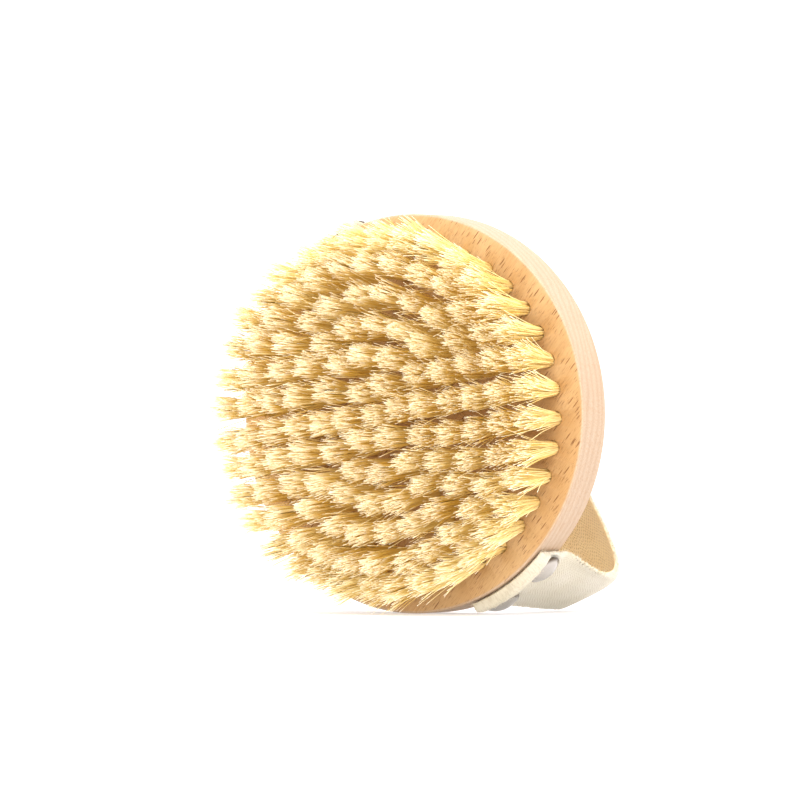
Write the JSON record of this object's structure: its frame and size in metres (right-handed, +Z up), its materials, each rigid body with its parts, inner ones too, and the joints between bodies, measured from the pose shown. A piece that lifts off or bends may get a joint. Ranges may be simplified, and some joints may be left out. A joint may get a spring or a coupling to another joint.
{
  "type": "body dry brush",
  "caption": "Round beech body brush: bristle tufts set in rings in a turned wooden block, with a cotton hand strap nailed to the rim and looped across the back.",
  "frame": {"origin": "under the middle of the brush, on the surface that its rim stands on", "axes": "+Z up; the disc's axis lies along Y, bristles towards -Y and the hand strap towards +Y; +X to the right seen from the bristles"},
  "size_m": [0.1198, 0.0812, 0.1199],
  "materials": {
    "beech_wood": "bare sanded beech, lightly oiled, with short darker flecks along the grain",
    "natural_bristle": "golden natural bristle with pale split tips",
    "anchor_steel": "flat anchor wire",
    "cotton_webbing": "undyed cotton herringbone webbing",
    "nickel_plate": "nickel-plated, slightly dull"
  },
  "bodies": {
    "brush": {"wood_block": "beech_wood", "tuft_middle": "natural_bristle", "tuft_ring_1": "natural_bristle", "tuft_ring_2": "natural_bristle", "tuft_ring_3": "natural_bristle", "tuft_ring_4": "natural_bristle", "tuft_ring_5": "natural_bristle", "tuft_ring_6": "natural_bristle", "anchor_middle": "anchor_steel", "anchor_ring_1_1": "anchor_steel", "anchor_ring_1_2": "anchor_steel", "anchor_ring_1_3": "anchor_steel", "anchor_ring_1_4": "anchor_steel", "anchor_ring_1_5": "anchor_steel", "anchor_ring_1_6": "anchor_steel", "strap_end_lower": "cotton_webbing", "strap_leg_lower": "cotton_webbing", "strap_leg_upper": "cotton_webbing", "strap_end_upper": "cotton_webbing", "nail_lower_1": "nickel_plate", "nail_lower_2": "nickel_plate", "nail_upper_1": "nickel_plate", "nail_upper_2": "nickel_plate"},
    "strap": {"strap_bridge": "cotton_webbing"}
  },
  "joints": [
    {"name": "strap_press", "type": "slide", "parent": "brush", "child": "strap", "axis": [0, -1, 0], "range_m": [-0.004, 0.028], "stiffness_N_per_m": 60, "deforming": ["strap_leg_lower", "strap_leg_upper"]}
  ]
}
